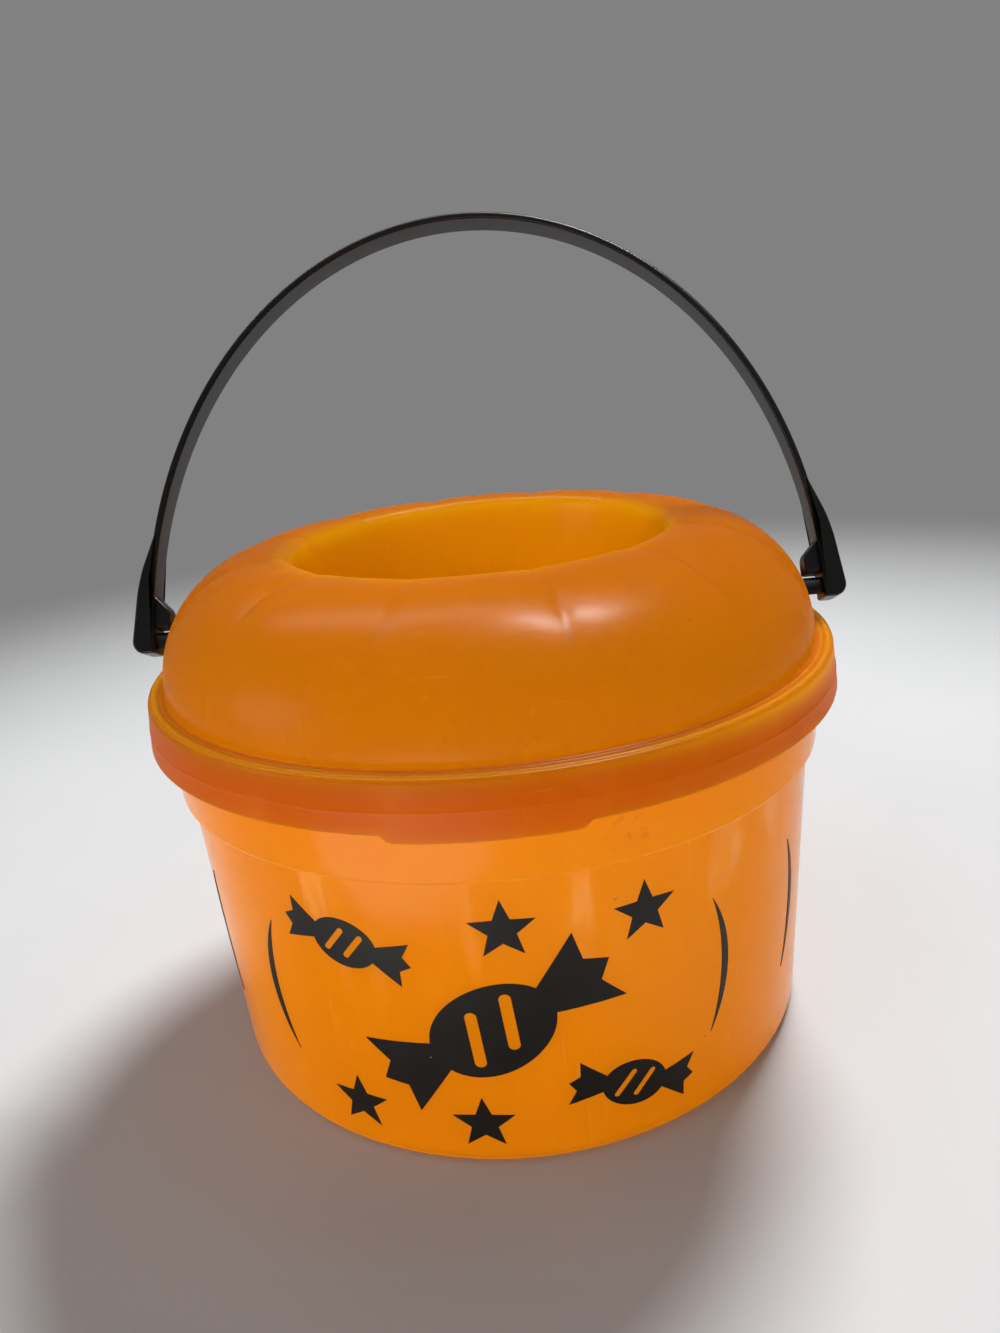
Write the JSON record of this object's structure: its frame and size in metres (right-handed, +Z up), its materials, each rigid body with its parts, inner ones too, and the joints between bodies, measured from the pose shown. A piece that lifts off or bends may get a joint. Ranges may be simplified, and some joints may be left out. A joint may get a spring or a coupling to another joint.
{
  "type": "candy pail",
  "caption": "Round tapered pail of translucent orange plastic with a lobed pumpkin-like lid, a deep round well in the lid, and a black bail handle that swings on studs in the lid.",
  "frame": {"origin": "centre of the base, on the surface that the pail stands on", "axes": "+Z up, the printed front faces -Y, the handle's studs lie along X"},
  "size_m": [0.2034, 0.1925, 0.2269],
  "materials": {
    "bucket_plastic": "satin, translucent",
    "lid_plastic": "satin, translucent",
    "handle_plastic": "gloss",
    "ink": "flat print"
  },
  "bodies": {
    "bucket": {"bucket": "bucket_plastic", "ink_sweet_large": "ink", "ink_sweet_upper": "ink", "ink_sweet_lower": "ink", "ink_star_upper_side": "ink", "ink_star_upper_middle": "ink", "ink_star_lower_side": "ink", "ink_star_lower_middle": "ink", "ink_rib_left_inner": "ink", "ink_rib_left_outer": "ink", "ink_rib_right_inner": "ink", "ink_rib_right_outer": "ink"},
    "lid": {"lid": "lid_plastic"},
    "handle": {"handle": "handle_plastic"}
  },
  "joints": [
    {"name": "lid_lift", "type": "slide", "parent": "bucket", "child": "lid", "axis": [0, 0, 1], "range_m": [0, 0.04]},
    {"name": "handle_swing", "type": "hinge", "parent": "lid", "child": "handle", "pos_m": [0, 0, 0.1162], "axis": [1, 0, 0], "range_deg": [-67, 117]}
  ]
}
